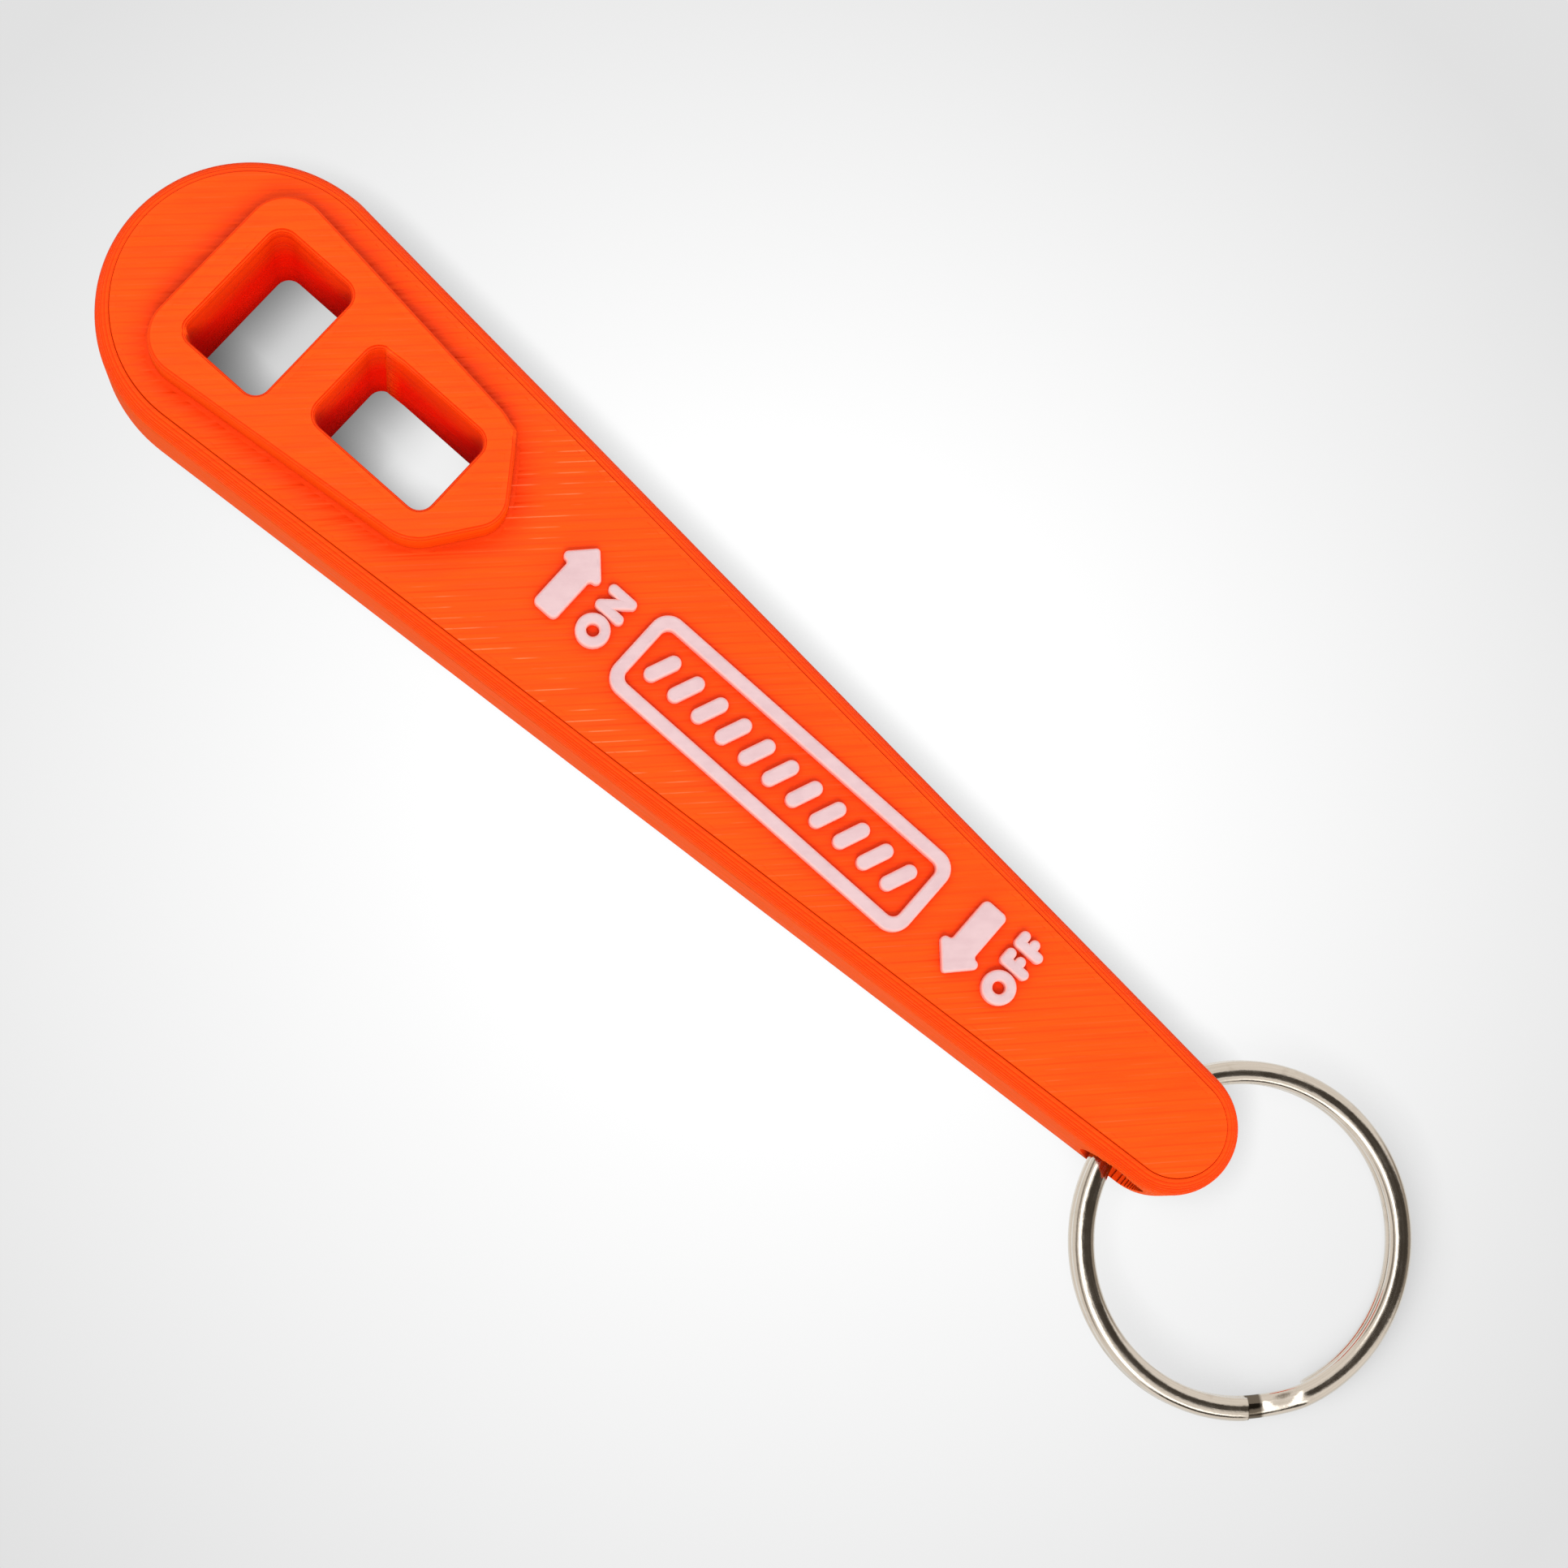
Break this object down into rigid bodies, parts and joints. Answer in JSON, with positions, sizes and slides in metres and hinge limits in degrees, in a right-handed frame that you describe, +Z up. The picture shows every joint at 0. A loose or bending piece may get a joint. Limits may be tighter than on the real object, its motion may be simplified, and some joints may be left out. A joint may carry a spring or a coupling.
{
  "type": "cylinder valve wrench",
  "caption": "Flat tapered printed wrench with two rectangular valve windows in a raised boss, raised on and off arrows, and a split key ring through its thin end.",
  "frame": {"origin": "on the underside, at the centre of the cross-wise valve window, on the axis the wrench turns a valve about", "axes": "+X along the handle towards the key ring, +Z up out of the marked face"},
  "size_m": [0.1311, 0.028, 0.0124],
  "materials": {
    "handle_print": "printed orange plastic, satin, with fine layer and raster lines",
    "marking_print": "printed pale pink plastic, matte",
    "ring_plate": "bright nickel plate on steel wire"
  },
  "bodies": {
    "wrench": {"wrench_body": "handle_print", "frame_border": "marking_print", "pattern_bar_01": "marking_print", "pattern_bar_02": "marking_print", "pattern_bar_03": "marking_print", "pattern_bar_04": "marking_print", "pattern_bar_05": "marking_print", "pattern_bar_06": "marking_print", "pattern_bar_07": "marking_print", "pattern_bar_08": "marking_print", "pattern_bar_09": "marking_print", "pattern_bar_10": "marking_print", "pattern_bar_11": "marking_print", "arrow_on": "marking_print", "letter_on_o": "marking_print", "letter_on_n": "marking_print", "arrow_off": "marking_print", "letter_off_o": "marking_print", "letter_off_f1": "marking_print", "letter_off_f2": "marking_print"},
    "ring": {"split_ring": "ring_plate"}
  },
  "joints": [
    {"name": "ring_swing", "type": "hinge", "parent": "wrench", "child": "ring", "pos_m": [0.09155, 0, 0.0048], "axis": [0, -1, 0], "range_deg": [-155, 173]}
  ]
}
